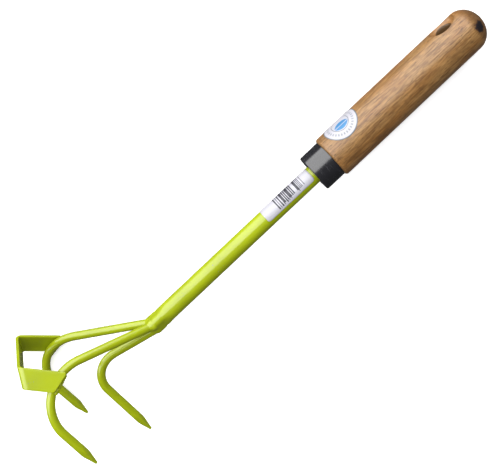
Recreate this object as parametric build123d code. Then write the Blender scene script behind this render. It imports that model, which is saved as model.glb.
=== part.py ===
from build123d import *
import math
import os

# Hand cultivator: three rod tines and a stirrup hoe blade welded to a steel tube, in a
# turned wooden handle with a black ferrule. All lengths are millimetres.
#
# The pieces are drawn in the tool's own axes: X runs along the tube from its mouth (x = 0)
# to the butt of the handle, Z is the back of the tool (the blade's side) and the tines
# point to -Z. The plane Y = 0 mirrors the left side onto the right. At the end the whole
# tool is laid on its right side, as it rests on a bench.

# ---- driving dimensions ----
tube_od = 13.0
tube_wall = 1.2
tube_end = 222.0            # the tube stops here, deep inside the handle
crimp_wall = 0.8            # the mouth is crimped round the bundle of three rods
crimp_length = 6.5
crimp_taper = 8.5           # from the crimp back to the round tube

ferrule_od = 27.6
ferrule_wall = 1.3
ferrule_start = 146.8
ferrule_length = 15.6
ferrule_edge = 1.1          # rounding of the rim

handle_od = 31.1            # at the shoulder
butt_od = 30.3              # the handle thins a little towards the dome
handle_butt = 297.0         # end of the domed butt
dome_length = 13.0
shoulder_radius = 2.0
bore_clearance = 0.05       # between tube and bore, per side

hole_x = 273.5              # hanging hole, square to the tube in the mirror plane
hole_d = 12.5
hole_cove = 4.1             # hollow round of its edge at the back of the tool
cove_above = 0.35           # the round's middle lies this far above the wood
hole_edge = 0.4             # small break at the plain end

rod_d = 6.0
rod_grip = 6.0              # length of rod held inside the crimp
rod_start = -2.9            # where the rods begin to spread
rod_spread_radius = 9.0
outer_bend = Vector(-86.3, 32.3, 47.1)      # corner of the outer tines' bend
outer_tip = Vector(-88.7, 34.5, -29.8)
outer_radius = 29.0
centre_bend = Vector(-55.0, 0.0, 10.0)      # corner of the centre tine's bend
centre_tip = Vector(-57.4, 0.0, -56.5)
centre_radius = 17.3
point_length = 15.0         # forged four-sided point
point_flat = 1.3            # width left at the very tip

blade_width = 14.0
blade_thickness = 2.0
blade_corner = 2.0          # inside radius of the folds
blade_front = Vector(-80.4, 0.0, 47.7)      # middle of the cross band's outer face
blade_tilt = 58.0           # the cross band leans down and forward
fold_skew = 21.0            # the folds are skewed, so the legs run back and down
band_half = 23.75           # from the mirror plane to the start of each fold
leg_length = 26.2           # outside corner to leg end, on the strip's centre line
leg_cut = 25.0              # slant of the leg's free end

weld_r = 1.4                # fillet bead beside each leg
weld_bite = 0.4             # how far the bead's middle lies inside the rod's skin
weld_rise = 1.0             # and under the leg's face
weld_lip = 0.45             # thickness of the socket weld over the rods
weld_core = 2.3             # open middle of the socket weld
weld_lip_length = 1.2
socket_weld_length = 5.4
label_gap = 0.02
label_skin = 0.12
bar_label_start = 103.2
bar_label_end = 144.8
bar_label_turn = 76.5       # middle of the label, turned from -Y towards the back
bar_label_width = 19.0      # wrapped round the tube
round_label_x = 181.6
round_label_d = 26.0
round_label_turn = 78.0

lay_roll = -7.44             # degrees about the tube, until the blade's leg touches the bench
lay_tilt = 3.32             # degrees that the head end is lifted
# ----

rod_r = rod_d / 2
tube_r = tube_od / 2
handle_r = handle_od / 2
butt_r = butt_od / 2
ferrule_r = ferrule_od / 2
ferrule_end = ferrule_start + ferrule_length
bundle_y = rod_r                            # three touching rods
bundle_top = rod_r / math.sqrt(3)
bundle_low = -2 * bundle_top


def turned(points):
    """A solid turned about X from an outline of (x, radius) points."""
    return revolve(make_face(Plane.XY * Polyline(*points, close=True)), Axis.X)


def mirrored(solid):
    """The left-hand twin of a right-hand piece."""
    return mirror(solid, Plane.XZ)


# ---- handle ----

def handle_radius(x):
    """Radius of the handle's slightly tapered grip."""
    along = (x - ferrule_end) / (handle_butt - dome_length - ferrule_end)
    return handle_r + (butt_r - handle_r) * along


def wood_handle():
    spigot_r = ferrule_r - ferrule_wall
    spigot_start = ferrule_start + ferrule_wall
    dome_start = handle_butt - dome_length
    shoulder = ferrule_end + shoulder_radius
    diag = shoulder_radius * math.sin(math.radians(45))
    dome_mid = (dome_start + dome_length * math.cos(math.radians(45)),
                butt_r * math.sin(math.radians(45)))
    outline = [
        Line((spigot_start, 0), (spigot_start, spigot_r)),
        Line((spigot_start, spigot_r), (ferrule_end, spigot_r)),
        Line((ferrule_end, spigot_r), (ferrule_end, handle_r - shoulder_radius)),
        ThreePointArc((ferrule_end, handle_r - shoulder_radius),
                      (shoulder - diag, handle_r - shoulder_radius + diag),
                      (shoulder, handle_r)),
        Line((shoulder, handle_r), (dome_start, butt_r)),
        Spline((dome_start, butt_r), dome_mid, (handle_butt, 0),
               tangents=[(dome_start - shoulder, butt_r - handle_r), (0, -1)]),
        Line((handle_butt, 0), (spigot_start, 0)),
    ]
    body = revolve(make_face(Wire(outline)), Axis.X)
    bore_r = tube_r + bore_clearance
    bore_length = tube_end + 1.0 - spigot_start
    bore = Plane.YZ.offset(spigot_start) * Cylinder(
        bore_r, bore_length, align=(Align.CENTER, Align.CENTER, Align.MIN))
    return body - bore - hanging_hole()


def hanging_hole():
    """Through hole: its edge at the back is hollowed out to a cove, the front is plain."""
    top = handle_r + 1.5
    r = hole_d / 2
    cove_z = butt_r + cove_above
    cove_low = cove_z - hole_cove
    cove_mid = hole_cove * math.sin(math.radians(45))
    brim = butt_r - hole_edge
    outline = [
        Line((0, -top), (r + hole_edge, -top)),
        Line((r + hole_edge, -top), (r + hole_edge, -brim)),
        Line((r + hole_edge, -brim), (r, -brim + hole_edge * 2)),
        Line((r, -brim + hole_edge * 2), (r, cove_low)),
        ThreePointArc((r, cove_low), (r + cove_mid, cove_z - cove_mid), (r + hole_cove, cove_z)),
        Line((r + hole_cove, cove_z), (r + hole_cove, top)),
        Line((r + hole_cove, top), (0, top)),
        Line((0, top), (0, -top)),
    ]
    return Pos(hole_x, 0, 0) * revolve(Plane.XZ * make_face(Wire(outline)), Axis.Z)


def ferrule():
    inner = ferrule_r - ferrule_wall
    hole = tube_r + bore_clearance
    cup = turned([
        (ferrule_start, hole),
        (ferrule_start, ferrule_r),
        (ferrule_end, ferrule_r),
        (ferrule_end, inner),
        (ferrule_start + ferrule_wall, inner),
        (ferrule_start + ferrule_wall, hole),
    ])
    rim = cup.edges().filter_by(GeomType.CIRCLE).filter_by(
        lambda e: abs(e.radius - ferrule_r) < 0.01).sort_by(Axis.X)[0]
    return fillet(rim, ferrule_edge)


# ---- shaft ----

def bundle_outline(x, margin):
    """The outline drawn tight round the three rods, grown by a margin: a soft triangle."""
    r = rod_r + margin
    reach = -bundle_low
    edges = []
    for lobe in (30, 150, 270):
        middle = Vector(reach, 0).rotate(Axis.Z, lobe)
        ends = [middle + Vector(r, 0).rotate(Axis.Z, lobe + a) for a in (-60, 0, 60)]
        following = Vector(reach, 0).rotate(Axis.Z, lobe + 120)
        next_start = following + Vector(r, 0).rotate(Axis.Z, lobe + 60)
        edges.append(ThreePointArc(*ends))
        edges.append(Line(ends[2], next_start))
    return Plane(origin=(x, 0, 0), x_dir=(0, 1, 0), z_dir=(1, 0, 0)) * make_face(Wire(edges))


def round_outline(x, radius, margin):
    """A circle in six arcs that meet the six edges of the bundle's outline."""
    reach = -bundle_low
    r = rod_r + margin
    half = math.degrees(math.atan2(r * math.sin(math.pi / 3), reach + r * math.cos(math.pi / 3)))
    edges = []
    for lobe in (30, 150, 270):
        for first, last in ((lobe - half, lobe + half), (lobe + half, lobe + 120 - half)):
            angles = (first, (first + last) / 2, last)
            edges.append(ThreePointArc(*[Vector(radius, 0).rotate(Axis.Z, a) for a in angles]))
    return Plane(origin=(x, 0, 0), x_dir=(0, 1, 0), z_dir=(1, 0, 0)) * make_face(Wire(edges))


def crimped(margin, radius, start):
    """A bar with the bundle's outline at the mouth that runs out into a circle."""
    taper_end = crimp_length + crimp_taper
    mouth = extrude(bundle_outline(start, margin), crimp_length - start)
    taper = loft([bundle_outline(crimp_length, margin), round_outline(taper_end, radius, margin)])
    straight = Plane.YZ.offset(taper_end) * Cylinder(
        radius, tube_end - taper_end, align=(Align.CENTER, Align.CENTER, Align.MIN))
    return mouth + taper + straight


def shaft_tube():
    """Round tube, its mouth crimped to a soft triangle round the rods."""
    return crimped(crimp_wall, tube_r, 0) - crimped(0, tube_r - tube_wall, -1)


# ---- tines ----

def rod(root, bend, tip, radius):
    """A round rod: gripped root, gentle spread, one big bend and a forged point."""
    inside = Vector(rod_grip, root.Y, root.Z)
    path = FilletPolyline(inside, root, bend, tip, radius=[rod_spread_radius, radius])
    section = Plane(origin=inside, z_dir=(-1, 0, 0)) * Circle(rod_r)
    return sweep(section, path)


def forged_point(bend, tip):
    """Everything outside a four-sided point at the rod's end, as a cutter."""
    along = (bend - tip).normalized()
    side = Vector(0, 1, 0)
    ground = Plane(origin=tip, x_dir=along.cross(side), z_dir=along)
    wide = rod_d + 0.9
    small = ground * Rectangle(point_flat, point_flat)
    large = ground.offset(point_length) * Rectangle(wide, wide)
    block = ground * Pos(0, 0, point_length / 2 - 1) * Box(wide, wide, point_length + 2)
    return block - loft([small, large])


def outer_tine():
    root = Vector(rod_start, bundle_y, bundle_top)
    return rod(root, outer_bend, outer_tip, outer_radius) - forged_point(outer_bend, outer_tip)


def centre_tine():
    root = Vector(rod_start, 0, bundle_low)
    return rod(root, centre_bend, centre_tip, centre_radius) - forged_point(centre_bend, centre_tip)


# ---- stirrup blade ----

tilt = math.radians(blade_tilt)
skew = math.radians(fold_skew)
across = Vector(0, 1, 0)
band_down = Vector(-math.cos(tilt), 0, -math.sin(tilt))
band_in = Vector(math.sin(tilt), 0, -math.cos(tilt))
fold_axis = band_down * math.cos(skew) + across * math.sin(skew)
leg_out = across * math.cos(skew) - band_down * math.sin(skew)
leg_back = fold_axis * math.sin(skew) + band_in * math.cos(skew)
leg_down = fold_axis * math.cos(skew) - band_in * math.sin(skew)
fold_r = blade_corner + blade_thickness / 2


def fold_section(angle):
    """The strip's skewed cross-section, carried round the fold by an angle in degrees."""
    a = math.radians(angle)
    radial = leg_out * math.sin(a) - band_in * math.cos(a)
    forward = leg_out * math.cos(a) + band_in * math.sin(a)
    start = blade_front + band_in * (blade_thickness / 2) + across * band_half
    centre = start + band_in * fold_r
    here = centre + radial * fold_r + fold_axis * (fold_r * a * math.tan(skew))
    plane = Plane(origin=here, x_dir=fold_axis, z_dir=forward)
    return plane * Rectangle(blade_width / math.cos(skew), blade_thickness)


def leg_end_cut(length):
    """Slanted plane that ends a leg, measured along the strip from the fold's end."""
    slant = math.radians(leg_cut)
    section = fold_section(90).faces()[0]
    origin = section.center() + leg_back * length
    return Plane(origin=origin, z_dir=leg_back * math.cos(slant) + leg_down * math.sin(slant))


def stirrup_blade():
    flat_leg = leg_length - (blade_corner + blade_thickness) / math.cos(skew)
    band = extrude(fold_section(0), amount=band_half + blade_width, dir=-across)
    band = split(band, bisect_by=Plane.XZ, keep=Keep.BOTTOM)
    fold = loft([fold_section(a) for a in (0, 22.5, 45, 67.5, 90)])
    leg = extrude(fold_section(90), amount=flat_leg + blade_width, dir=leg_back)
    leg = split(leg, bisect_by=leg_end_cut(flat_leg), keep=Keep.BOTTOM)
    half = band + fold + leg
    return half + mirrored(half)


# ---- welds ----

def outer_path_point(angle):
    """A point of the outer tine's bend, at an angle from its start, and its direction."""
    root = Vector(rod_start, bundle_y, bundle_top)
    first = (outer_bend - root).normalized()
    second = (outer_tip - outer_bend).normalized()
    turn = math.acos(first.dot(second))
    start = outer_bend - first * (outer_radius * math.tan(turn / 2))
    inward = (second - first * second.dot(first)).normalized()
    centre = start + inward * outer_radius
    a = math.radians(angle)
    point = centre - inward * (outer_radius * math.cos(a)) + first * (outer_radius * math.sin(a))
    return point, inward * math.cos(a) - first * math.sin(a)


def blade_weld():
    """Bead in the corner between the inside of the leg and the inner side of the bend."""
    ends = []
    for angle in (27, 54):
        point, to_centre = outer_path_point(angle)
        ends.append(point + to_centre * (rod_r - weld_bite) + leg_out * (rod_r - weld_rise))
    line = ends[1] - ends[0]
    bead = Plane(origin=ends[0], z_dir=line) * Cylinder(
        weld_r, line.length, align=(Align.CENTER, Align.CENTER, Align.MIN))
    for end in ends:
        bead += Pos(end) * Sphere(weld_r)
    return bead


def socket_weld():
    """Ring bead over the crimped mouth, filling the outer corners between the rods."""
    lip_r = -bundle_low + rod_r + weld_lip
    return turned([
        (0, weld_core),
        (0, lip_r - 0.3),
        (-0.4, lip_r),
        (-weld_lip_length, lip_r),
        (-2 * weld_lip_length, lip_r - 1.0),
        (-socket_weld_length, rod_r + 0.6),
        (-socket_weld_length, weld_core),
    ])


def largest(shape):
    return max(shape.solids(), key=lambda s: s.volume)


# ---- labels ----

def bar_label():
    """Printed paper label, wrapped along the tube beside the ferrule."""
    inner = tube_r + label_gap
    ring = turned([
        (bar_label_start, inner),
        (bar_label_start, inner + label_skin),
        (bar_label_end, inner + label_skin),
        (bar_label_end, inner),
    ])
    half = bar_label_width / tube_r / 2
    reach = 3 * tube_r
    fan = [(-reach * math.cos(a), reach * math.sin(a)) for a in (-half, 0, half)]
    wedge = extrude(make_face(Polyline((0, 0), *fan, close=True)), bar_label_end)
    # the wedge opens towards -X: stand it along the tube with its middle towards -Y
    wedge = Plane(origin=(0, 0, 0), x_dir=(0, 1, 0), z_dir=(1, 0, 0)) * wedge
    return ring & (Rot(-bar_label_turn, 0, 0) * wedge)


def round_label():
    """Round sticker, wrapped on the handle above the ferrule: a circle when unrolled."""
    r = round_label_d / 2
    start = round_label_x - r - 1
    end = round_label_x + r + 1
    ring = turned([
        (start, handle_radius(start) + label_gap),
        (start, handle_radius(start) + label_gap + label_skin),
        (end, handle_radius(end) + label_gap + label_skin),
        (end, handle_radius(end) + label_gap),
    ])
    wrap_r = handle_radius(round_label_x)
    rim = []
    for step in range(24):
        a = math.radians(step * 15)
        rim.append((r * math.cos(a), wrap_r * math.sin(r * math.sin(a) / wrap_r)))
    punch = extrude(make_face(Spline(*rim, periodic=True)), handle_od)
    return ring & (Rot(90 - round_label_turn, 0, 0) * Pos(round_label_x, 0, 0) * punch)


# ---- the tool, laid on its right side ----

def lay_down(solid):
    return Rot(0, lay_tilt, 0) * Rot(-90 + lay_roll, 0, 0) * solid


def build():
    tube = shaft_tube()
    right = outer_tine()
    left = mirrored(right)
    centre = centre_tine()
    blade = stirrup_blade()
    weld = socket_weld() - right - left - centre
    bead = largest(blade_weld() - right - blade)
    return {
        "wood_handle": wood_handle(),
        "ferrule": ferrule(),
        "shaft_tube": tube,
        "left_tine": left,
        "centre_tine": centre,
        "right_tine": right,
        "stirrup_blade": blade,
        "socket_weld": weld,
        "left_blade_weld": mirrored(bead),
        "right_blade_weld": bead,
        "round_label": round_label(),
        "bar_label": bar_label(),
    }


os.makedirs("parts", exist_ok=True)
pieces = {name: lay_down(piece) for name, piece in build().items()}
low = min(piece.bounding_box().min.Z for piece in pieces.values())
left_end = min(piece.bounding_box().min.X for piece in pieces.values())
right_end = max(piece.bounding_box().max.X for piece in pieces.values())
front = min(piece.bounding_box().min.Y for piece in pieces.values())
back = max(piece.bounding_box().max.Y for piece in pieces.values())
place = Pos(-(left_end + right_end) / 2, -(front + back) / 2, -low)
for name, piece in pieces.items():
    export_step(place * piece, f"parts/{name}.step")
    print(name, len(piece.solids()), round(piece.volume, 1))
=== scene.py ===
import bmesh
import bpy
import numpy as np
from mathutils import Matrix, Vector


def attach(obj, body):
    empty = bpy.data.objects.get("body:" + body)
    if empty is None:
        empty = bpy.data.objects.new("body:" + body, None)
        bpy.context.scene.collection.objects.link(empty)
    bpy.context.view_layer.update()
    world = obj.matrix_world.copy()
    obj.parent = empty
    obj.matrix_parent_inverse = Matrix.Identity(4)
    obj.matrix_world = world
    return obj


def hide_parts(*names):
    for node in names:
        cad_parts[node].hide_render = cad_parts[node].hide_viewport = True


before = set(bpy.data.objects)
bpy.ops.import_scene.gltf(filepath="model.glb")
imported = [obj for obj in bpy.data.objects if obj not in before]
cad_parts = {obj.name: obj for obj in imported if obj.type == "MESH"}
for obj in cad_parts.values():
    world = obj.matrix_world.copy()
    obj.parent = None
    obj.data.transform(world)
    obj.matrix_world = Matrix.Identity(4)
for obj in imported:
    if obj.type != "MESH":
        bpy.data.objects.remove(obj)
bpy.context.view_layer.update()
print("frame loaded")

# The pieces are worked out in the tool's own axes, in millimetres: x runs from the tube's mouth to
# the butt, z is the back of the tool and the tines point to -z. The tool then lies on its side.
layDown = {
    "tilt": 3.32,                          # head end lifted, degrees
    "roll": -97.44,                        # turned onto its right side
    "origin": (-101.773, 0.033, 31.907),   # where the middle of the tube's mouth lies, mm
}


def turnMatrix(tilt, roll):
    # a turn of roll about x, then of tilt about y
    t, r = np.radians([tilt, roll])
    aboutY = np.array([[np.cos(t), 0, np.sin(t)], [0, 1, 0], [-np.sin(t), 0, np.cos(t)]])
    aboutX = np.array([[1, 0, 0], [0, np.cos(r), -np.sin(r)], [0, np.sin(r), np.cos(r)]])
    return aboutY @ aboutX


toolTurn = turnMatrix(layDown["tilt"], layDown["roll"])
toolOrigin = np.array(layDown["origin"])


def unit(v):
    v = np.asarray(v, float)
    return v / np.linalg.norm(v, axis=-1, keepdims=True)


def smooth(t):
    # eases from 0 to 1: 3t^2 - 2t^3, level at both ends
    t = np.clip(t, 0, 1)
    return t * t * (3 - 2 * t)


# turning grids into pieces
def gridFaces(rows, cols, wrapRows=False, wrapCols=False):
    # four corners of each cell of a rows x cols grid; wrapping joins the last line to the first
    r = np.arange(rows if wrapRows else rows - 1)[:, None]
    c = np.arange(cols if wrapCols else cols - 1)[None, :]
    r2, c2 = (r + 1) % rows, (c + 1) % cols
    cells = np.stack([r * cols + c, r * cols + c2, r2 * cols + c2, r2 * cols + c], -1)
    return cells.reshape(-1, 4)


def capFan(ring, centre):
    # triangles from a ring of vertex numbers to one vertex at its middle
    ring = np.asarray(ring)
    return np.stack([ring, np.roll(ring, -1), np.full(len(ring), centre)], -1)


def tubeGrid(points, ring=False):
    # a rows x cols x 3 grid closed across; a ring also joins its last row to its first, and
    # anything else gets a middle vertex over each end
    rows, cols = points.shape[:2]
    flat = points.reshape(-1, 3)
    quads = gridFaces(rows, cols, ring, True)
    tris = np.zeros((0, 3), int)
    if not ring:
        flat = np.vstack([flat, points[0].mean(0), points[-1].mean(0)])
        start, end = np.arange(cols)[::-1], np.arange(cols) + (rows - 1) * cols
        tris = np.vstack([capFan(start, rows * cols), capFan(end, rows * cols + 1)])
    return flat, quads, tris


def makePiece(name, points, quads, tris, material, node, uv=None):
    # puts arrays of points and faces into a smooth mesh in the bench's axes, faces outward
    place = (np.asarray(points, float) @ toolTurn.T + toolOrigin) / 1000
    tris = np.asarray(tris, int).reshape(-1, 3)
    mesh = bpy.data.meshes.new(name)
    loops = np.concatenate([quads.ravel(), tris.ravel()])
    starts = np.concatenate([np.arange(len(quads)) * 4, len(quads) * 4 + np.arange(len(tris)) * 3])
    mesh.vertices.add(len(place))
    mesh.vertices.foreach_set("co", place.ravel())
    mesh.loops.add(len(loops))
    mesh.loops.foreach_set("vertex_index", loops)
    mesh.polygons.add(len(starts))
    mesh.polygons.foreach_set("loop_start", starts)
    if uv is not None:
        layer = mesh.uv_layers.new(name="flat")
        layer.data.foreach_set("uv", np.asarray(uv, float)[loops].ravel())
    mesh.update(calc_edges=True)
    mesh.validate()
    shell = bmesh.new()
    shell.from_mesh(mesh)
    bmesh.ops.remove_doubles(shell, verts=shell.verts, dist=2e-6)
    bmesh.ops.recalc_face_normals(shell, faces=shell.faces)
    shell.to_mesh(mesh)
    shell.free()
    mesh.polygons.foreach_set("use_smooth", np.ones(len(mesh.polygons), bool))
    mesh.materials.append(material)
    piece = bpy.data.objects.new(name, mesh)
    bpy.context.scene.collection.objects.link(piece)
    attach(piece, "root")
    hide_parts(node)
    return piece


def turned(profile, cols=144):
    # a profile of (x, radius) carried round the x axis
    profile = np.asarray(profile, float)
    angle = np.linspace(0, 2 * np.pi, cols, endpoint=False)
    x = np.repeat(profile[:, :1], cols, 1)
    return np.stack([x, profile[:, 1:] * np.cos(angle), profile[:, 1:] * np.sin(angle)], -1)


def arcPoints(centre, radius, start, end, count):
    # points on a circle's arc in the (x, radius) plane, angles in degrees
    a = np.radians(np.linspace(start, end, count))
    return np.stack([centre[0] + radius * np.cos(a), centre[1] + radius * np.sin(a)], -1)


def rounded(corners, radii, count=7):
    # a polyline with each corner replaced by a quadratic curve that starts and ends radius away
    corners = np.asarray(corners, float)
    out = [corners[:1]]
    t = np.linspace(0, 1, count)[:, None]
    for before, here, after, r in zip(corners[:-2], corners[1:-1], corners[2:], radii):
        a = here + unit(before - here) * r
        b = here + unit(after - here) * r
        out.append((1 - t) ** 2 * a + 2 * t * (1 - t) * here + t ** 2 * b)
    out.append(corners[-1:])
    return np.vstack(out)


class NodeSet:
    # short calls for one material's nodes
    def __init__(self, name):
        self.material = bpy.data.materials.new(name)
        self.material.use_nodes = True
        self.tree = self.material.node_tree
        self.shader = self.tree.nodes["Principled BSDF"]

    def add(self, kind, **values):
        node = self.tree.nodes.new(kind)
        for key, value in values.items():
            setattr(node, key, value)
        return node

    def link(self, source, target):
        self.tree.links.new(source, target)

    def put(self, socket, value):
        # a linked output or a plain number
        if isinstance(value, bpy.types.NodeSocket):
            self.link(value, socket)
        else:
            socket.default_value = value

    def toolAxes(self):
        # Object coordinates turned back into the tool's axes, in metres
        source = self.add("ShaderNodeTexCoord")
        turn = self.add("ShaderNodeMapping", vector_type="TEXTURE")
        turn.inputs["Location"].default_value = toolOrigin / 1000
        turn.inputs["Rotation"].default_value = Matrix(toolTurn.tolist()).to_euler()
        self.link(source.outputs["Object"], turn.inputs["Vector"])
        return turn.outputs["Vector"]

    def stretched(self, vector, scale):
        # scaled coordinates: the smaller an axis's number, the longer the pattern runs along it
        node = self.add("ShaderNodeMapping")
        node.inputs["Scale"].default_value = scale
        self.link(vector, node.inputs["Vector"])
        return node.outputs["Vector"]

    def noise(self, vector, scale, detail=3.0, roughness=0.55, distortion=0.0):
        node = self.add("ShaderNodeTexNoise")
        self.link(vector, node.inputs["Vector"])
        values = {"Scale": scale, "Detail": detail, "Roughness": roughness, "Distortion": distortion}
        for key, value in values.items():
            node.inputs[key].default_value = value
        return node.outputs["Fac"]

    def ramp(self, value, stops):
        # a colour or grey at each place from 0 to 1, and straight changes between
        node = self.add("ShaderNodeValToRGB")
        marks = node.color_ramp.elements
        while len(marks) < len(stops):
            marks.new(0.5)
        for mark, (at, colour) in zip(marks, stops):
            mark.position = at
            mark.color = (*colour, 1) if not np.isscalar(colour) else (colour, colour, colour, 1)
        self.link(value, node.inputs["Fac"])
        return node.outputs["Color"]

    def mix(self, factor, first, second):
        node = self.add("ShaderNodeMix", data_type="RGBA")
        self.put(node.inputs["Factor"], factor)
        for socket, value in ((node.inputs["A"], first), (node.inputs["B"], second)):
            self.put(socket, value if isinstance(value, bpy.types.NodeSocket) else (*value, 1))
        return node.outputs["Result"]

    def math(self, how, first, second=0.0, third=0.0):
        node = self.add("ShaderNodeMath", operation=how)
        for socket, value in zip(node.inputs, (first, second, third)):
            self.put(socket, value)
        return node.outputs["Value"]

    def parts(self, vector):
        node = self.add("ShaderNodeSeparateXYZ")
        self.link(vector, node.inputs["Vector"])
        return node.outputs["X"], node.outputs["Y"], node.outputs["Z"]

    def length(self, first, second):
        # distance from the origin in a plane: the root of the sum of both squares
        squares = [self.math("MULTIPLY", part, part) for part in (first, second)]
        return self.math("SQRT", self.math("ADD", *squares))

    def bump(self, height, distance, strength=1.0, under=None):
        node = self.add("ShaderNodeBump")
        node.inputs["Distance"].default_value = distance
        node.inputs["Strength"].default_value = strength
        self.link(height, node.inputs["Height"])
        if under is not None:
            self.link(under, node.inputs["Normal"])
        return node.outputs["Normal"]

    def set(self, **values):
        for key, value in values.items():
            self.put(self.shader.inputs[key.replace("_", " ")], value)


# green enamel on all the steel
enamel = {
    "body": (0.225, 0.272, 0.0040),
    "thin": (0.200, 0.243, 0.0035),   # where it lies thinner
    "chip": (0.12, 0.13, 0.10),       # bare steel in small chips
    "chipRare": (0.76, 0.80),         # raise both for fewer chips
    "cloudScale": 55,                 # patches of thick and thin
    "peelScale": 420,
    "chipScale": 900,
    "peel": 0.00003,                  # height of the orange peel, metres
    "roughness": 0.14,
    "roughSpread": 0.16,              # and this much more on the cloudy patches
}


def greenEnamel():
    n = NodeSet("greenEnamel")
    where = n.toolAxes()
    cloud = n.noise(where, enamel["cloudScale"], 3, 0.5)
    fine = n.noise(where, enamel["peelScale"], 2, 0.5)
    tone = n.mix(n.ramp(cloud, [(0.35, 0.0), (0.7, 1.0)]), enamel["body"], enamel["thin"])
    specks = n.noise(where, enamel["chipScale"], 2, 0.6)
    low, high = enamel["chipRare"]
    chip = n.ramp(n.math("MULTIPLY", specks, n.math("ADD", cloud, 0.45)), [(low, 0.0), (high, 1.0)])
    colour = n.mix(chip, tone, enamel["chip"])
    rough = n.math("MULTIPLY_ADD", cloud, enamel["roughSpread"], enamel["roughness"])
    peel = n.bump(fine, enamel["peel"], 0.5)
    n.set(Base_Color=colour, Roughness=rough, Normal=peel)
    return n.material


green = greenEnamel()


# the turned handle, in millimetres in the tool's axes
handleCuts = {
    "shoulderRadius": 15.55,
    "buttRadius": 15.15,
    "spigotRadius": 12.5,
    "spigotStart": 148.1,
    "ferruleEnd": 162.4,
    "shoulderRound": 2.0,
    "domeStart": 284.0,
    "domeLength": 13.0,
    "holeX": 273.5,
    "holeRadius": 6.25,
    "cove": 4.1,
    "coveLift": 0.35,         # middle of the cove over the butt radius
    "coveNarrow": 0.77,       # the cove is this much narrower across the handle than along it
    "lipRound": 0.35,         # the cove's lip is rounded over this far outside it
    "lipBreak": 0.25,         # and this far inside
    "plainEdge": 0.4,         # small break round the hole's other end
    "blockHalf": 13.0,        # half length of the patch that joins the hole to the turned surface
    "blockAngle": 60.0,       # and half its width, degrees
    "step": 0.65,             # spacing of the rings along the grip
    "stepsPastHole": 20,
    "cols": 180,
    "gap": 0.02,              # clearance under the ferrule, and radius of the last ring at a pole
}


def handleRadius(x):
    # straight taper to the dome, which is a quarter ellipse
    h = handleCuts
    taper = h["shoulderRadius"] + (h["buttRadius"] - h["shoulderRadius"]) * (
        (x - h["ferruleEnd"]) / (h["domeStart"] - h["ferruleEnd"]))
    over = np.clip((x - h["domeStart"]) / h["domeLength"], 0, 1)
    return np.where(x < h["domeStart"], taper, h["buttRadius"] * np.sqrt(1 - over ** 2))


def handleRows():
    # ring positions: inside the ferrule, round the shoulder, evenly along the grip, then over the dome
    h = handleCuts
    room = h["holeX"] - h["ferruleEnd"] - 1.3 * h["shoulderRound"]
    steps = np.arange(-int(room / h["step"]), h["stepsPastHole"] + 1) * h["step"]
    grip = h["holeX"] + steps
    gripRows = np.stack([grip, handleRadius(grip)], -1)
    shoulder = arcPoints((h["ferruleEnd"] + h["shoulderRound"], h["shoulderRadius"] - h["shoulderRound"]),
                         h["shoulderRound"], 180, 92, 9)
    chamfer = 0.3
    inside = np.array([(h["spigotStart"], h["gap"]), (h["spigotStart"], h["spigotRadius"] - chamfer),
                       (h["spigotStart"] + chamfer, h["spigotRadius"] - h["gap"]),
                       (h["ferruleEnd"], h["spigotRadius"] - h["gap"])])
    last = np.arcsin((grip[-1] - h["domeStart"]) / h["domeLength"])
    psi = np.linspace(last, np.pi / 2, 26)[1:]
    dome = np.stack([h["domeStart"] + h["domeLength"] * np.sin(psi),
                     np.maximum(h["buttRadius"] * np.cos(psi), h["gap"])], -1)
    return np.vstack([inside, shoulder, gripRows, dome]), len(inside) + len(shoulder), len(gripRows)


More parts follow.
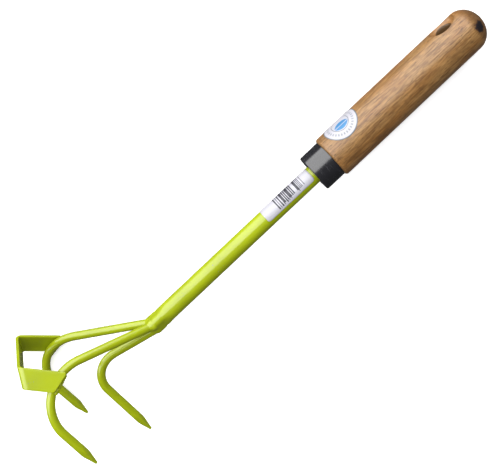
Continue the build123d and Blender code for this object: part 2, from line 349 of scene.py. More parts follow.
def makeHandle(material):
    # the turned surface is a grid of (x, angle from the back); a block of cells is left out over each
    # end of the hole, and rings of points run from one block's rim through the hole to the other's
    h = handleCuts
    profile, first, count = handleRows()
    cols = h["cols"]
    angle = np.radians(np.arange(cols) * 360 / cols)
    x = np.repeat(profile[:, :1], cols, 1)
    surface = np.stack([x, profile[:, 1:] * np.sin(angle), profile[:, 1:] * np.cos(angle)], -1)
    rows = len(profile)
    quads = gridFaces(rows, cols, False, True)
    half = int(round(h["blockHalf"] / h["step"]))
    wide = int(round(h["blockAngle"] / (360 / cols)))
    middle = first + count - 1 - h["stepsPastHole"]
    cellRow, cellCol = np.divmod(np.arange(len(quads)), cols)
    inRows = (cellRow >= middle - half) & (cellRow < middle + half)
    atBack = (cellCol < wide) | (cellCol >= cols - wide)
    atFront = (cellCol >= cols // 2 - wide) & (cellCol < cols // 2 + wide)
    quads = quads[~(inRows & (atBack | atFront))]
    flat = surface.reshape(-1, 3)

    # the rim of the back block, once round; the front block's rim has the same x and y
    r = np.arange(-half, half + 1)
    c = np.arange(-wide, wide + 1)
    loopRow = np.concatenate([r[:-1], np.full(len(c) - 1, half), r[:0:-1], np.full(len(c) - 1, -half)])
    loopCol = np.concatenate([np.full(len(r) - 1, -wide), c[:-1], np.full(len(r) - 1, wide), c[:0:-1]])
    rim = surface[middle + loopRow, loopCol % cols]
    flatRim = rim[:, :2]
    phi = np.arctan2(flatRim[:, 1], flatRim[:, 0] - h["holeX"])
    spoke = np.stack([np.cos(phi), np.sin(phi)], -1)
    centre = np.array([h["holeX"], 0.0])

    def skin(p):
        # height of the turned surface over a point of the (x, y) plane
        return np.sqrt(np.maximum(handleRadius(p[:, 0]) ** 2 - p[:, 1] ** 2, 0.01))

    def ring(p, z):
        return np.column_stack([p, z])

    coveLow = h["buttRadius"] + h["coveLift"] - h["cove"]

    def coveHeight(p):
        # a quarter circle that rises outwards from the hole's rim, drawn in across the handle
        rho = np.hypot(p[..., 0] - h["holeX"], p[..., 1] / h["coveNarrow"])
        out = np.clip(rho - h["holeRadius"], 0, h["cove"])
        return coveLow + h["cove"] - np.sqrt(h["cove"] ** 2 - out ** 2)

    # each spoke's lip is where the cove meets the turned surface
    reach = np.linspace(h["holeRadius"], h["holeRadius"] + h["cove"], 400)
    trial = centre + spoke[:, None, :] * reach[None, :, None]
    gap = skin(trial.reshape(-1, 2)).reshape(len(phi), -1) - coveHeight(trial)
    lip = reach[np.argmin(np.abs(gap), 1)]
    lip = np.convolve(np.concatenate([lip[-3:], lip, lip[:3]]), np.ones(7) / 7, "valid")

    def turnOver(start, corner, end, count):
        # rings along a quadratic curve that rounds a corner off
        return [(1 - t) ** 2 * start + 2 * t * (1 - t) * corner + t ** 2 * end
                for t in np.linspace(0, 1, count)[1:]]

    def cove(rho):
        p = centre + spoke * rho[:, None]
        return ring(p, coveHeight(p))

    rings = []
    outer = centre + spoke * (lip + h["lipRound"])[:, None]
    for t in smooth(np.linspace(0, 1, 12)):
        p = flatRim * (1 - t) + outer * t
        rings.append(ring(p, skin(p)))
    corner = ring(centre + spoke * lip[:, None], skin(centre + spoke * lip[:, None]))
    rings += turnOver(rings[-1], corner, cove(lip - h["lipBreak"]), 7)
    for t in np.linspace(0, 1, 14)[1:]:
        rings.append(cove((lip - h["lipBreak"]) * (1 - t) + h["holeRadius"] * t))
    bore = centre + spoke * h["holeRadius"]
    topZ = coveHeight(bore)
    frontSkin = -skin(centre + spoke * (h["holeRadius"] + h["plainEdge"]))
    for t in np.linspace(0, 1, 12)[1:]:
        rings.append(ring(bore, topZ * (1 - t) + (frontSkin + h["plainEdge"]) * t))
    outerFront = centre + spoke * (h["holeRadius"] + h["plainEdge"] * 1.6)
    rings += turnOver(rings[-1], ring(bore, -skin(bore)), ring(outerFront, -skin(outerFront)), 6)
    for t in smooth(np.linspace(0, 1, 12))[1:]:
        p = outerFront * (1 - t) + flatRim * t
        rings.append(ring(p, -skin(p)))
    tunnel = np.stack(rings)
    tunnelQuads = gridFaces(len(rings), len(phi), False, True)
    points = np.vstack([flat, tunnel.reshape(-1, 3)])
    quads = np.vstack([quads, tunnelQuads + len(flat)])
    # the inner end and the apex close on one vertex each
    points = np.vstack([points, [(profile[0, 0], 0, 0), (h["domeStart"] + h["domeLength"], 0, 0)]])
    tris = np.vstack([capFan(np.arange(cols), len(points) - 2),
                      capFan(np.arange(cols) + (rows - 1) * cols, len(points) - 1)])
    return makePiece("oiledHandle", points, quads, tris, material, "wood_handle")


wood = {
    "pale": (0.262, 0.146, 0.052),
    "tan": (0.180, 0.092, 0.028),
    "orange": (0.205, 0.088, 0.020),
    "brown": (0.088, 0.040, 0.012),
    "dark": (0.026, 0.012, 0.005),
    # painted shade for the wall inside the hole
    "bore": (0.050, 0.026, 0.009),
    "stain": (0.004, 0.004, 0.007),
    "stainPlace": (290.0, -13.0, 1.2),   # on the dome, mm in the tool's axes
    "stainSize": 4.5,
    "warmPlace": (289.5, 0.5, 13.4),     # redder end grain near the top of the dome
    "warmSize": 8.0,
    "endGrain": (286.8, 293.4),          # the dome darkens between these, mm from the tube's mouth
    "flare": (9.7, 10.24),               # and the cove is redder within these, mm from its middle
    "boreShade": (6.29, 6.35),                 # painted shade on the bore's wall, mm from its axis
    "fray": 9.0,                         # how far a spot's edge strays, mm
    # noise layers, drawn out along it: scale along, scale across, detail, roughness, distortion
    "drift": (22, 110, 3, 0.60, 0.8),
    "figure": (26, 210, 5, 0.62, 1.6),
    "streak": (60, 720, 4, 0.66, 0.7),
    "fibre": (110, 1150, 3, 0.62, 0.0),
    "pores": (330, 2300, 2, 0.50, 0.0),
    "ragged": (330, 420, 4, 0.68, 0.0),
}


def grain(n, where, layer):
    # one of the wood's noise layers
    along, across, detail, roughness, distortion = wood[layer]
    return n.noise(n.stretched(where, (along, across, across)), 1.0, detail, roughness, distortion)


def spot(n, where, place, size, soft, ragged):
    # 1 within size of a point and 0 beyond size + soft, with a ragged edge; all in mm
    away = n.add("ShaderNodeVectorMath", operation="DISTANCE")
    n.link(where, away.inputs[0])
    away.inputs[1].default_value = [v / 1000 for v in place]
    reach = n.math("MULTIPLY_ADD", ragged, wood["fray"] / 1000, away.outputs["Value"])
    size = size + wood["fray"] / 2          # the noise is about a half on average
    return n.ramp(n.math("DIVIDE", reach, (size + soft) / 1000), [(size / (size + soft), 1.0), (1.0, 0.0)])


def fade(n, distance, near, far, full, start, end):
    # start at near mm and end at far mm along a distance in metres; full is the ramp's whole length
    return n.ramp(n.math("DIVIDE", distance, full / 1000), [(near / full, start), (far / full, end)])


def oiledWood():
    n = NodeSet("oiledWood")
    where = n.toolAxes()
    drift, figure, streak, fibre, pores, ragged = [
        grain(n, where, layer) for layer in ("drift", "figure", "streak", "fibre", "pores", "ragged")]
    base = n.ramp(figure, [(0.28, wood["tan"]), (0.60, wood["pale"])])
    # each layer lays its colour over the ones below it, as strongly as its two stops say
    for layer, stops, colour in ((drift, [(0.46, 0.0), (0.66, 0.75)], "orange"),
                                 (streak, [(0.36, 0.85), (0.53, 0.0)], "brown"),
                                 (fibre, [(0.36, 0.75), (0.55, 0.0)], "brown"),
                                 (pores, [(0.30, 0.85), (0.39, 0.0)], "dark")):
        base = n.mix(n.ramp(layer, stops), base, wood[colour])
    warm = spot(n, where, wood["warmPlace"], wood["warmSize"] * 0.3, wood["warmSize"], ragged)
    base = n.mix(n.math("MULTIPLY", warm, 0.8), base, wood["orange"])
    # painted shade darkens the bore's wall, and its flared mouth is redder than the grip
    x, y, _ = n.parts(where)
    offX = n.math("SUBTRACT", x, handleCuts["holeX"] / 1000)
    boreWide = n.length(offX, y)
    coveWide = n.length(offX, n.math("DIVIDE", y, handleCuts["coveNarrow"]))
    base = n.mix(fade(n, coveWide, *wood["flare"], 20, 0.55, 0.0), base, wood["orange"])
    base = n.mix(fade(n, boreWide, *wood["boreShade"], 20, 0.88, 0.0), base, wood["bore"])
    # the end grain of the dome drinks more oil
    uneven = n.math("MULTIPLY_ADD", ragged, 0.004, x)
    base = n.mix(fade(n, uneven, *wood["endGrain"], 300, 0.0, 0.70), base, wood["brown"])
    # ink-dark spot with a brown fringe near the butt
    fringe = spot(n, where, wood["stainPlace"], wood["stainSize"] * 0.8, 2.2, ragged)
    core = spot(n, where, wood["stainPlace"], wood["stainSize"] * 0.7, 0.9, ragged)
    base = n.mix(n.math("MULTIPLY", fringe, 0.8), base, wood["brown"])
    base = n.mix(n.math("MULTIPLY", core, 0.97), base, wood["stain"])
    rough = n.math("MULTIPLY_ADD", figure, -0.14, 0.49)
    relief = n.bump(fibre, 0.00010, 0.6)
    relief = n.bump(pores, 0.00014, 0.5, relief)
    n.set(Base_Color=base, Roughness=rough, Normal=relief)
    return n.material


makeHandle(oiledWood())
print("handle turned")


ferrule = {
    "start": 146.8,
    "end": 162.4,
    "radius": 13.8,
    "wall": 1.3,
    "hole": 6.55,
    "rimRound": 1.3,          # at the front, outside
    "edgeRound": 0.3,         # the outer edge of the open end and the inside corner
    "lipRound": 0.2,          # the other edges
    "seam": 0.6,              # where the profile closes, inside the hole
    "colour": (0.010, 0.010, 0.012),
    "scuff": (0.10, 0.10, 0.11),
}


def makeFerrule(material):
    # closed profile of a shallow cup: front disc, rounded rim, wall, open end and back inside
    f = ferrule
    inner, back = f["radius"] - f["wall"], f["start"] + f["wall"]
    seam = (f["start"] + f["seam"], f["hole"])
    corners = [seam, (f["start"], f["hole"]), (f["start"], f["radius"]), (f["end"], f["radius"]),
               (f["end"], inner), (back, inner), (back, f["hole"]), seam]
    profile = rounded(corners, [f["lipRound"], f["rimRound"], f["edgeRound"], f["lipRound"],
                                f["edgeRound"], f["lipRound"]])
    points = turned(profile[:-1])
    flat, quads, tris = tubeGrid(points, ring=True)
    return makePiece("blackFerrule", flat, quads, tris, material, "ferrule")


def blackEnamel():
    n = NodeSet("blackEnamel")
    where = n.toolAxes()
    cloud = n.noise(where, 120, 4, 0.6)
    # faint turning lines round the cup
    lines = n.noise(n.stretched(where, (2600, 40, 40)), 1.0, 2, 0.5)
    scuff = n.noise(n.stretched(where, (700, 120, 120)), 1.0, 4, 0.7, 0.8)
    colour = n.mix(n.ramp(scuff, [(0.58, 0.0), (0.78, 0.30)]), ferrule["colour"], ferrule["scuff"])
    rough = n.math("MULTIPLY_ADD", cloud, 0.12, 0.15)
    n.set(Base_Color=colour, Roughness=rough, Normal=n.bump(lines, 0.00001, 0.3), IOR=1.6)
    return n.material


makeFerrule(blackEnamel())
print("ferrule made")


# the three rods side by side in the tube's mouth, and the tube crimped round them
bundle = {
    "rod": 3.0,
    "reach": 3.4641,          # from the tube's axis to each rod's middle, where the rods touch
    "lobe": 30.0,             # direction of the first rod from the tube's axis, degrees; two more at 120
}
tube = {
    "radius": 6.5,
    "bore": 5.3,
    "end": 222.0,
    "crimpWall": 0.8,
    "crimpLength": 6.5,
    "crimpTaper": 8.5,
    "groove": 5.2,            # the punch left a shallow groove round the mouth
    "grooveDepth": 0.35,
    "grooveWidth": 1.1,
    "mouthRound": 0.35,       # the skin starts this far behind the mouth, and the lip rounds over
}


def bundleOutline(angle, margin):
    # distance from the axis to the outline drawn tight round three circles, grown by margin: the
    # circle's own edge near a lobe, and the straight line that touches two circles between lobes
    r = bundle["rod"] + margin
    reach = bundle["reach"]
    turn = (np.degrees(angle) - bundle["lobe"] + 60) % 120 - 60
    d = np.radians(turn)
    lobe = reach * np.cos(d) + np.sqrt(np.maximum(r * r - (reach * np.sin(d)) ** 2, 0))
    side = (reach / 2 + r) / np.cos(np.abs(d) - np.radians(60))
    corner = np.arctan2(r * np.sin(np.radians(60)), reach + r * 0.5)
    return np.where(np.abs(d) < corner, lobe, side)


def makeTube(material):
    # outer skin from mouth to end, then back along the bore: radius eases from outline to circle
    t = tube
    x = np.concatenate([np.linspace(t["mouthRound"], 18, 72), np.linspace(20, t["end"], 80)])
    angle = np.linspace(0, 2 * np.pi, 144, endpoint=False)
    ease = smooth((x - t["crimpLength"] * 0.6) / (t["crimpTaper"] * 1.15))[:, None]
    outer = bundleOutline(angle, t["crimpWall"])[None] * (1 - ease) + t["radius"] * ease
    outer = outer - t["grooveDepth"] * np.exp(-((x[:, None] - t["groove"]) / t["grooveWidth"]) ** 2)
    inner = bundleOutline(angle, 0.02)[None] * (1 - ease) + t["bore"] * ease
    # the lip rounds over from the skin to the bore in four rings, and the far end in two
    lipX = np.array([0.12, 0.0, 0.0, 0.12])
    lipMix = np.array([0.12, 0.35, 0.65, 0.88])[:, None]
    lip = outer[0] * (1 - lipMix) + inner[0] * lipMix
    endMix = np.array([0.1, 0.9])[:, None]
    end = outer[-1] * (1 - endMix) + inner[-1] * endMix
    radius = np.vstack([lip[1::-1], outer, end, inner[::-1], lip[:1:-1]])
    along = np.concatenate([lipX[1::-1], x, [t["end"] + 0.1] * 2, x[::-1], lipX[:1:-1]])
    points = np.stack([np.repeat(along[:, None], len(angle), 1),
                       radius * np.cos(angle), radius * np.sin(angle)], -1)
    flat, quads, tris = tubeGrid(points, ring=True)
    return makePiece("shaftTube", flat, quads, tris, material, "shaft_tube")


makeTube(green)


tines = {
    "rodRadius": 3.0,
    "grip": 6.0,              # length held in the tube's mouth
    "start": -2.9,            # where the rods begin to spread
    "spreadRadius": 9.0,
    "outerRoot": (3.0, 1.7321),    # y and z of a rod in the mouth
    "centreRoot": (0.0, -3.4641),
    "outerBend": (-86.3, 32.3, 47.1),
    "outerTip": (-88.7, 34.5, -29.8),
    "outerRadius": 29.0,
    "centreBend": (-55.0, 0.0, 10.0),
    "centreTip": (-57.4, 0.0, -56.5),
    "centreRadius": 17.3,
    "pointLength": 16.4,
    "pointHalf": 0.58,        # half width left at the tip
    "blunt": 0.25,            # the last of the tip is rounded off
    "twist": 22.0,            # turn of the forged faces from the tool's axes, degrees
    "sharp": 18.0,            # how hard the forged faces meet the round rod
    "dents": (0.05, 0.04),    # depth of the long and the short hammer marks
    "step": 0.8,
}


def filletPath(corners, radii, step):
    # straight runs joined by arcs of the given radii, as evenly spaced points and directions
    corners = np.asarray(corners, float)
    points, ways = [], []
    start = corners[0]
    for before, here, after, radius in zip(corners[:-2], corners[1:-1], corners[2:], radii):
        d1, d2 = unit(here - before), unit(after - here)
        turn = np.arccos(np.clip(d1 @ d2, -1, 1))
        back = radius * np.tan(turn / 2)
        a = here - d1 * back
        inward = unit(d2 - d1 * (d1 @ d2))
        count = max(2, int(np.linalg.norm(a - start) / step))
        t = np.linspace(0, 1, count, endpoint=False)[:, None]
        points.append(start + (a - start) * t)
        ways.append(np.repeat(d1[None], count, 0))
        count = max(4, int(radius * turn / step))
        s = np.linspace(0, turn, count, endpoint=False)[:, None]
        points.append(a + inward * radius * (1 - np.cos(s)) + d1 * radius * np.sin(s))
        ways.append(d1 * np.cos(s) + inward * np.sin(s))
        start = here + d2 * back
    last = unit(corners[-1] - corners[-2])
    count = int(np.linalg.norm(corners[-1] - start) / step)
    t = np.linspace(0, 1, count)[:, None]
    points.append(start + (corners[-1] - start) * t)
    ways.append(np.repeat(last[None], count, 0))
    return np.vstack(points), np.vstack(ways)


def makeTine(name, node, root, bend, tip, radius, mirrored, material, seed):
    # a circle carried along the path; towards the tip its radius is the softly joined lesser of
    # the circle's and a tapering square's, less a few shallow dents
    t = tines
    inside = (t["grip"], *root)
    corners = [inside, (t["start"], *root), bend, tip]
    centre, way = filletPath(corners, [t["spreadRadius"], radius], t["step"])
    left = np.linalg.norm(centre[-1] - centre, axis=1)
    keep = left > t["pointLength"] + 3
    fine = np.linspace(t["pointLength"] + 3, t["blunt"], 40)
    lastWay = unit(np.subtract(tip, bend))
    centre = np.vstack([centre[keep], np.asarray(tip) - lastWay * fine[:, None]])
    way = np.vstack([way[keep], np.repeat(lastWay[None], len(fine), 0)])
    left = np.concatenate([left[keep], fine])
    side = np.array([0.0, 1.0, 0.0])
    first = unit(np.cross(way, side))
    second = np.cross(way, first)
    angle = np.linspace(0, 2 * np.pi, 96, endpoint=False)
    taper = (t["rodRadius"] - t["pointHalf"]) / t["pointLength"]
    halfWidth = t["pointHalf"] + left * taper
    facet = angle - np.radians(-t["twist"] if mirrored else t["twist"])
    rim = np.maximum(np.abs(np.cos(facet)), np.abs(np.sin(facet)))
    square = halfWidth[:, None] / rim[None]
    cut = -np.log(np.exp(-t["sharp"] * square) + np.exp(-t["sharp"] * t["rodRadius"])) / t["sharp"]
    rng = np.random.default_rng(seed)
    wave = rng.uniform(0, 6.28, 4)
    along, longDent, shortDent = left[:, None], *t["dents"]
    dents = longDent * np.sin(along * 0.9 + angle * 2 + wave[0]) + shortDent * np.sin(
        along * 2.1 - angle * 3 + wave[1])
    near = smooth(1 - (left - 10) / 12)[:, None]
    r = np.maximum(cut + np.minimum(dents, 0) * near * smooth(left / 3)[:, None], 0.15)
    points = centre[:, None] + first[:, None] * (r * np.cos(angle))[..., None] + second[:, None] * (
        r * np.sin(angle))[..., None]
    blunt = points[-1:] * 0.5 + points[-1].mean(0) * 0.5 + lastWay * t["blunt"]
    points = np.concatenate([points, blunt])
    if mirrored:
        points = points * np.array([1, -1, 1])
    flat, quads, tris = tubeGrid(points)
    return makePiece(name, flat, quads, tris, material, node)


outerRod = [tines[key] for key in ("outerRoot", "outerBend", "outerTip", "outerRadius")]
centreRod = [tines[key] for key in ("centreRoot", "centreBend", "centreTip", "centreRadius")]
makeTine("rightTine", "right_tine", *outerRod, False, green, 3)
makeTine("leftTine", "left_tine", *outerRod, True, green, 5)
makeTine("centreTine", "centre_tine", *centreRod, False, green, 8)
print("tines bent")


blade = {
    "width": 14.0,
    "thickness": 2.0,
    "front": (-80.4, 0.0, 47.7),   # middle of the cross band's outer face
    "tilt": 58.0,             # the band leans down and forward
    "skew": 21.0,             # the folds are skewed, so the legs run back and down
    "bandHalf": 23.75,        # from the middle to the start of a fold
    "foldInside": 2.0,
    "legLength": 26.2,
    "legCut": 25.0,           # slant of a leg's free end
    "edgeRound": 0.35,
    "endRound": 1.7,          # corners of the legs' free ends
    "foldRows": (16.4, 36.0), # where the strip needs close rows, mm from its middle
}


def bladeAxes():
    # directions of the flat band and of its folds
    tilt, skew = np.radians([blade["tilt"], blade["skew"]])
    across = np.array([0.0, 1.0, 0.0])
    down = np.array([-np.cos(tilt), 0, -np.sin(tilt)])
    inward = np.array([np.sin(tilt), 0, -np.cos(tilt)])
    fold = down * np.cos(skew) + across * np.sin(skew)
    legOut = across * np.cos(skew) - down * np.sin(skew)
    return skew, inward, fold, legOut


def bladePoint(a, b, c):
    # the flat strip (a along it, b across it, c outward) bent round a skewed fold line: before the
    # fold it stays in the band's plane, then it follows an arc of 90 degrees, then runs straight in
    skew, inward, fold, legOut = bladeAxes()
    foldRadius = blade["foldInside"] + blade["thickness"] / 2
    origin = np.array(blade["front"]) + inward * blade["thickness"] / 2
    e = b * np.cos(skew) + a * np.sin(skew)
    d = a * np.cos(skew) - b * np.sin(skew)
    d0 = blade["bandHalf"] * np.cos(skew)
    alpha = np.clip((d - d0) / foldRadius, 0, np.pi / 2)
    past = np.maximum(d - d0 - foldRadius * np.pi / 2, 0)
    before = np.minimum(d, d0)
    centreLine = origin + e[..., None] * fold + before[..., None] * legOut + foldRadius * inward
    radial = legOut * np.sin(alpha)[..., None] - inward * np.cos(alpha)[..., None]
    return centreLine + radial * (foldRadius + c)[..., None] + inward * past[..., None]


def stripLoop():
    # rounded rectangle of the strip's section as (b, c)
    w, t, r = blade["width"] / 2, blade["thickness"] / 2, blade["edgeRound"]
    corners = [(0, t), (w, t), (w, -t), (-w, -t), (-w, t), (0, t)]
    loop = rounded(corners, [r] * 4, 5)[:-1]
    fill = []
    for p, q in zip(loop, np.roll(loop, -1, 0)):
        count = max(1, int(np.linalg.norm(q - p) / 1.2))
        fill.append(p + (q - p) * (np.arange(count) / count)[:, None])
    return np.vstack(fill)


def makeBlade(material):
    # the section loop carried from one slanted leg end over the band to the other
    skew = np.radians(blade["skew"])
    foldRadius = blade["foldInside"] + blade["thickness"] / 2
    foldRun = foldRadius * np.pi / 2 / np.cos(skew)
    legRun = blade["legLength"] - (blade["foldInside"] + blade["thickness"]) / np.cos(skew)
    end = blade["bandHalf"] + foldRun + legRun
    loop = stripLoop()
    near, far = blade["foldRows"]
    cornerStart = end - blade["endRound"]
    a = np.concatenate([np.linspace(0, near - 0.4, 14), np.linspace(near, far, 70),
                        np.linspace(far + 0.6, cornerStart, 16),
                        end - blade["endRound"] * np.cos(np.linspace(0, np.pi / 2, 9))[1:]])
    shear = smooth((a - far) / (end - far))
    corner = np.clip((a - cornerStart) / blade["endRound"], 0, 1)
    slim = 1 - blade["endRound"] * (1 - np.sqrt(1 - corner ** 2)) / (blade["width"] / 2)
    b = loop[None, :, 0] * slim[:, None]
    c = np.repeat(loop[None, :, 1], len(a), 0)
    along = a[:, None] - b * np.tan(np.radians(blade["legCut"])) * shear[:, None]
    half = bladePoint(along, b, c)
    endRing = bladePoint(along[-1:] + 0.18, b[-1:] * 0.975, c[-1:] * 0.78)
    half = np.concatenate([half, endRing])
    other = half[:0:-1] * np.array([1, -1, 1])
    points = np.concatenate([other, half])
    flat, quads, tris = tubeGrid(points)
    return makePiece("stirrupBlade", flat, quads, tris, material, "stirrup_blade")


makeBlade(green)
print("blade folded")


# fillet bead beside each leg of the blade
bead = {
    "radius": 1.4,
    "from": (-60.1, 25.2, 27.55),
    "to": (-71.4, 29.3, 24.7),
    "ripple": 0.07,           # share of the radius, along it
    "wobble": 0.06,           # and round it
}


def makeBead(name, node, mirrored, material, seed):
    # a rippled sausage: radius swells with each weld pool, and both ends round off
    a, b = np.array(bead["from"]), np.array(bead["to"])
    way = unit(b - a)
    run = np.linalg.norm(b - a)
    s = np.linspace(-bead["radius"], run + bead["radius"], 60)
    inward = np.clip(np.maximum(-s, s - run) / bead["radius"], 0, 1)
    ripple = 1 + bead["ripple"] * np.sin(s * 4.2 + seed)
    r = bead["radius"] * np.sqrt(np.maximum(1 - inward ** 2, 0.0004)) * ripple
    first = unit(np.cross(way, (0, 0, 1.0)))
    second = np.cross(way, first)
    angle = np.linspace(0, 2 * np.pi, 32, endpoint=False)
    wobble = r[:, None] * (1 + bead["wobble"] * np.sin(3 * angle + s[:, None] * 1.7 + seed))
    points = (a + way * s[:, None])[:, None] + first * (wobble * np.cos(angle))[..., None] + second * (
        wobble * np.sin(angle))[..., None]
    if mirrored:
        points = points * np.array([1, -1, 1])
    flat, quads, tris = tubeGrid(points)
    return makePiece(name, flat, quads, tris, material, node)


makeBead("rightBladeBead", "right_blade_weld", False, green, 1.0)
makeBead("leftBladeBead", "left_blade_weld", True, green, 2.5)

# weld that joins the three rods at the tube's mouth
knuckle = {
    "from": 1.6,              # reaches a little way over the tube
    "to": -8.5,
    "blend": 1.1,             # softness where the rods and the core run together, mm
    "swell": 0.55,            # metal over the rods beside the mouth
    "sink": 0.75,             # under their skin at the far end
    "core": ((-8.5, 0.5), (-5.0, 3.0), (0.0, 4.6)),     # x and radius of the core
    # lumps and dimples of the weld: x, degrees from the left side towards the back, height, spread
    "lumps": ((-0.6, 54, 0.55, 2.0), (-1.6, 2, 0.45, 2.0), (-1.0, -60, 0.4, 1.8), (0.0, 150, 0.5, 2.4),
              (-1.5, 215, 0.4, 2.2), (0.2, 100, 0.3, 1.8), (-2.0, -100, 0.35, 1.6)),
}


def rodLine(root, bend, tip, radius):
    # y and z of a rod's middle as functions of x
    corners = [(tines["grip"], *root), (tines["start"], *root), bend, tip]
    path = filletPath(corners, [tines["spreadRadius"], radius], 0.4)[0]
    path = path[np.argsort(path[:, 0])]
    return lambda x: np.array([np.interp(x, path[:, 0], path[:, 1]), np.interp(x, path[:, 0], path[:, 2])])


def makeKnuckle(material):
    # around the axis the outline is a soft union of the three rods and a core that dies away as the
    # rods part; the lumps are added as round hills
    k = knuckle
    x = np.linspace(k["from"], k["to"], 90)
    angle = np.linspace(0, 2 * np.pi, 160, endpoint=False)
    ray = np.stack([np.cos(angle), np.sin(angle)], -1)
    r = np.linspace(0.3, 9.5, 260)
    p = ray[:, None] * r[None, :, None]
    outer, centre = rodLine(*outerRod), rodLine(*centreRod)
    mirror = np.array([-1, 1])
    coreX, coreRadius = zip(*k["core"])
    radii = []
    for here in x:
        grow = k["swell"] * smooth((here + 6.5) / 5.0) - k["sink"] * smooth((-2.0 - here) / 6.0)
        near = [np.linalg.norm(p - middle, axis=-1) - tines["rodRadius"] - grow
                for middle in (outer(here), outer(here) * mirror, centre(here))]
        near.append(np.linalg.norm(p, axis=-1) - np.interp(here, coreX, coreRadius))
        inside = sum(np.exp(-d / k["blend"]) for d in near) > 1
        last = inside.shape[1] - 1 - np.argmax(inside[:, ::-1], 1)
        radii.append(r[last])
    radii = np.array(radii)
    radii = (radii + np.roll(radii, 1, 1) + np.roll(radii, -1, 1)) / 3
    left = np.degrees(np.arctan2(np.sin(angle), -np.cos(angle)))
    for at, turn, height, spread in k["lumps"]:
        gap = (left - turn + 180) % 360 - 180
        away = ((x[:, None] - at) ** 2 + (np.radians(gap)[None] * 6.8) ** 2) / spread ** 2
        radii = radii + height * np.exp(-away)
    edge = smooth((k["from"] - x) / 1.4)[:, None]
    cover = bundleOutline(angle, tube["crimpWall"])[None] - 0.25
    radii = np.where(x[:, None] > 0, np.maximum(cover, radii * edge), radii)
    radii = cover * (1 - edge) + radii * edge
    along = np.repeat(x[:, None], len(angle), 1)
    points = np.stack([along, radii * np.cos(angle), radii * np.sin(angle)], -1)
    flat, quads, tris = tubeGrid(points)
    return makePiece("socketKnuckle", flat, quads, tris, material, "socket_weld")


makeKnuckle(green)
print("welds laid")


barLabel = {
    "start": 103.2,
    "end": 144.8,
    "turn": 76.5,             # middle of the label, degrees from the left side towards the back
    "width": 19.0,
    "radius": 6.52,
    "skin": 0.12,
    "corner": 1.8,
}
roundLabel = {
    "x": 181.6,
    "turn": 78.0,
    "radius": 13.0,
    "clear": 0.06,            # over the wood at its middle
    "skin": 0.12,
}


def wrapped(x, s, radius, turn, off):
    # a flat sheet wrapped on a round bar: s is measured round the bar from the sheet's middle, and
    # the sheet stands off the bar
    a = np.radians(turn) + s / radius
    return np.stack([x, -(radius + off) * np.cos(a), (radius + off) * np.sin(a)], -1)


def sheetPiece(name, node, flatX, flatS, uv, radius, turn, skin, material):
    # top and underside of a thin sheet from one grid, joined round the rim
    top = wrapped(flatX, flatS, radius, turn, skin)
    under = wrapped(flatX, flatS, radius, turn, 0.0)
    rows, cols = flatX.shape
    cells = gridFaces(rows, cols)
    count = rows * cols
    rim = np.concatenate([np.arange(cols), np.arange(1, rows) * cols + cols - 1,
                          np.arange(cols - 2, -1, -1) + (rows - 1) * cols,
                          np.arange(rows - 2, 0, -1) * cols])
    nextRim = np.roll(rim, -1)
    wall = np.stack([rim, nextRim, nextRim + count, rim + count], -1)
    quads = np.vstack([cells, cells[:, ::-1] + count, wall])
    points = np.vstack([top.reshape(-1, 3), under.reshape(-1, 3)])
    allUv = np.vstack([uv.reshape(-1, 2)] * 2)
    return makePiece(name, points, quads, [], material, node, allUv)


def makeBarLabel(material):
    # a rectangle whose ends draw in along quarter circles at the corners
    b = barLabel
    half = b["width"] / 2
    u = np.linspace(0, 1, 60)
    v = np.linspace(-1, 1, 48)
    s = v * half
    past = np.maximum(np.abs(s) - half + b["corner"], 0)
    inset = b["corner"] - np.sqrt(np.maximum(b["corner"] ** 2 - past ** 2, 0))
    x = (b["start"] + inset)[None] + u[:, None] * (b["end"] - b["start"] - 2 * inset)[None]
    flatS = np.repeat(s[None], len(u), 0)
    uv = np.stack([x - b["start"], flatS + half], -1)
    return sheetPiece("barLabel", "bar_label", x, flatS, uv, b["radius"], b["turn"], b["skin"],
                      material)


def makeRoundLabel(material):
    # a square grid drawn onto a disc: each ring of the square becomes a circle
    r = roundLabel
    t = np.linspace(-1, 1, 61)
    p, q = np.meshgrid(t, t, indexing="ij")
    dx, ds = p * np.sqrt(1 - q * q / 2), q * np.sqrt(1 - p * p / 2)
    x, s = dx * r["radius"], ds * r["radius"]
    uv = np.stack([x, s], -1)
    bar = float(handleRadius(np.array(r["x"]))) + r["clear"]
    return sheetPiece("roundLabel", "round_label", r["x"] + x, s, uv, bar, r["turn"], r["skin"], material)


labelPrint = {
    "paper": (0.305, 0.302, 0.335),
    "paperShade": (0.285, 0.282, 0.315),
    "ink": (0.012, 0.012, 0.020),
    "module": 0.45,              # narrowest bar, mm
    "bars": (11.2, 34.9),        # where the bars lie along the oblong label, mm
    "feet": (2.7, 1.5),          # how low short and long bars reach, mm from the edge
    "barTop": 17.0,
    "white": 0.46,               # share of the steps with no bar
    "short": 0.80,               # share of the steps with no bar or a short one
    "rim": 12.35,
    "rimGrey": (0.085, 0.100, 0.115),
    "dots": 30,                  # ring of dots between the rim and the disc
    "dotRing": (8.7, 10.3),
    "disc": 6.85,
    "discRing": 0.45,
    "leafBlue": (0.020, 0.125, 0.270),
    "leafLong": 5.7,
    "leafWide": 3.4,
    "leafShift": -2.3,
    "rib": 0.28,                 # half width of the leaf's middle rib
}


def between(n, value, low, high):
    # 1 from low to high and 0 outside
    return n.math("MULTIPLY", n.math("GREATER_THAN", value, low), n.math("LESS_THAN", value, high))


def paperBase(n, uv):
    # slightly mottled coated paper, and its faint relief
    fibre = n.noise(uv, 1.3, 3, 0.6)
    paper = n.mix(n.ramp(fibre, [(0.3, 0.0), (0.7, 1.0)]), labelPrint["paperShade"], labelPrint["paper"])
    return paper, n.bump(fibre, 0.00001, 0.4)


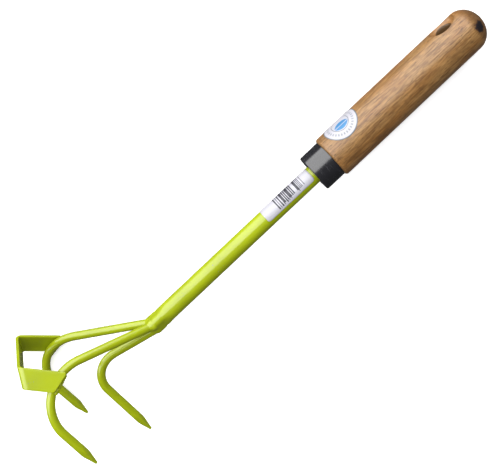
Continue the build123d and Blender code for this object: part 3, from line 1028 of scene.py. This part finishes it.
def barPaper():
    # bars of uneven width that spell nothing: each step along the label is inked or not at random
    n = NodeSet("barPaper")
    d = labelPrint
    uv = n.add("ShaderNodeUVMap", uv_map="flat").outputs["UV"]
    x, s, _ = n.parts(uv)
    paper, relief = paperBase(n, uv)
    step = n.math("SNAP", x, d["module"])
    white = n.add("ShaderNodeTexWhiteNoise", noise_dimensions="1D")
    n.link(step, white.inputs["W"])
    bars = n.math("GREATER_THAN", white.outputs["Value"], d["white"])
    longer = n.math("GREATER_THAN", white.outputs["Value"], d["short"])
    foot = n.math("MULTIPLY_ADD", longer, d["feet"][1] - d["feet"][0], d["feet"][0])
    inS = between(n, s, foot, d["barTop"])
    ink = n.math("MULTIPLY", bars, n.math("MULTIPLY", between(n, x, *d["bars"]), inS))
    n.set(Base_Color=n.mix(ink, paper, d["ink"]), Roughness=0.40, Normal=relief)
    return n.material


def roundPaper():
    # grey rim, a ring of dots, and a leaf where two circles overlap inside a thin ring
    n = NodeSet("roundPaper")
    d = labelPrint
    uv = n.add("ShaderNodeUVMap", uv_map="flat").outputs["UV"]
    x, s, _ = n.parts(uv)
    paper, relief = paperBase(n, uv)
    r = n.length(x, s)
    turn = n.math("ARCTAN2", s, x)
    dots = n.math("GREATER_THAN", n.math("SINE", n.math("MULTIPLY", turn, float(d["dots"]))), 0.1)
    dots = n.math("MULTIPLY", n.math("MULTIPLY", dots, between(n, r, *d["dotRing"])), 0.7)
    colour = n.mix(dots, paper, d["rimGrey"])
    colour = n.mix(n.math("GREATER_THAN", r, d["rim"]), colour, d["rimGrey"])
    colour = n.mix(between(n, r, d["disc"] - d["discRing"], d["disc"]), colour, d["rimGrey"])
    big = (d["leafLong"] ** 2 + d["leafWide"] ** 2) / (2 * d["leafWide"])
    inside = []
    for side in (-1, 1):
        t = n.math("ADD", s, side * (big - d["leafWide"]) - d["leafShift"])
        inside.append(n.math("LESS_THAN", n.length(x, t), big))
    leaf = n.math("MULTIPLY", *inside)
    rib = n.math("GREATER_THAN", n.math("ABSOLUTE", n.math("SUBTRACT", s, d["leafShift"])), d["rib"])
    colour = n.mix(n.math("MULTIPLY", leaf, rib), colour, d["leafBlue"])
    n.set(Base_Color=colour, Roughness=0.36, Normal=relief)
    return n.material


makeBarLabel(barPaper())
makeRoundLabel(roundPaper())
print("labels stuck on")


cameraSet = {
    "place": (0.05438, 0.34300, 0.60098),
    "right": (0.744164, -0.609269, 0.273923),
    "up": (0.659871, 0.606613, -0.443409),
    "lens": 72.43,
}


def makeCamera():
    # placed by its position and by the directions of its own right and up
    data = bpy.data.cameras.new("camera")
    data.lens = cameraSet["lens"]
    data.sensor_width = 36
    data.clip_start = 0.01
    data.clip_end = 20
    camera = bpy.data.objects.new("camera", data)
    right, up = Vector(cameraSet["right"]), Vector(cameraSet["up"])
    turn = Matrix((right, up, right.cross(up))).transposed().to_4x4()
    camera.matrix_world = Matrix.Translation(cameraSet["place"]) @ turn
    bpy.context.scene.collection.objects.link(camera)
    bpy.context.scene.camera = camera


makeCamera()


def areaLight(name, place, aim, size, power):
    # an oblong light turned towards a point
    data = bpy.data.lights.new(name, "AREA")
    data.shape = "RECTANGLE"
    data.size, data.size_y = size
    data.energy = power
    lamp = bpy.data.objects.new(name, data)
    lamp.location = place
    lamp.rotation_mode = "QUATERNION"
    lamp.rotation_quaternion = (Vector(aim) - Vector(place)).to_track_quat("-Z", "Y")
    bpy.context.scene.collection.objects.link(lamp)
    return lamp


# a tall softbox on the far side leans over the tool
softbox = {
    "away": 1.2,              # metres from the tool
    "raised": 17.3,           # how high its middle stands as seen from the tool, degrees
    "middle": -0.55,          # its middle stands past the head end, metres
    "size": (3.6, 2.19),
    "power": 126,
}
stage = {
    "overheadPlace": (0.1, 0.2, 1.6),
    "overheadSize": (1.2, 1.2),
    "overheadPower": 11,
    "world": 0.07,
    "floorHalf": 6.0,
    "floorPale": ((0.88, 0.88, 0.88), (0.92, 0.92, 0.92)),
    "floorGlow": 0.45,        # keeps the ground white under the soft shadows
}


def lightTool():
    raised = np.radians(softbox["raised"])
    place = (softbox["middle"], softbox["away"] * np.cos(raised), softbox["away"] * np.sin(raised))
    areaLight("softbox", place, (softbox["middle"], 0, 0), softbox["size"], softbox["power"])
    overhead = areaLight("overhead", stage["overheadPlace"], (0, 0, 0), stage["overheadSize"],
                         stage["overheadPower"])
    overhead.visible_glossy = False      # lifts the shaded side and leaves no second highlight
    world = bpy.data.worlds.new("studio")
    bpy.context.scene.world = world
    world.use_nodes = True
    sky = world.node_tree.nodes["Background"]
    sky.inputs["Color"].default_value = (1, 1, 1, 1)
    sky.inputs["Strength"].default_value = stage["world"]


def makeFloor():
    mesh = bpy.data.meshes.new("floor")
    side = stage["floorHalf"]
    corners = [(-side, -side, 0), (side, -side, 0), (side, side, 0), (-side, side, 0)]
    mesh.from_pydata(corners, [], [(0, 1, 2, 3)])
    floor = bpy.data.objects.new("floor", mesh)
    bpy.context.scene.collection.objects.link(floor)
    n = NodeSet("paleFloor")
    patch = n.noise(n.add("ShaderNodeTexCoord").outputs["Object"], 6, 2, 0.5)
    n.set(Base_Color=n.mix(patch, *stage["floorPale"]), Roughness=0.9,
          Emission_Color=(1, 1, 1, 1), Emission_Strength=stage["floorGlow"])
    mesh.materials.append(n.material)
    floor.visible_glossy = False         # the enamel mirrors the softbox and not the floor


lightTool()
makeFloor()
bpy.context.scene.view_settings.view_transform = "Standard"
print("stage lit")
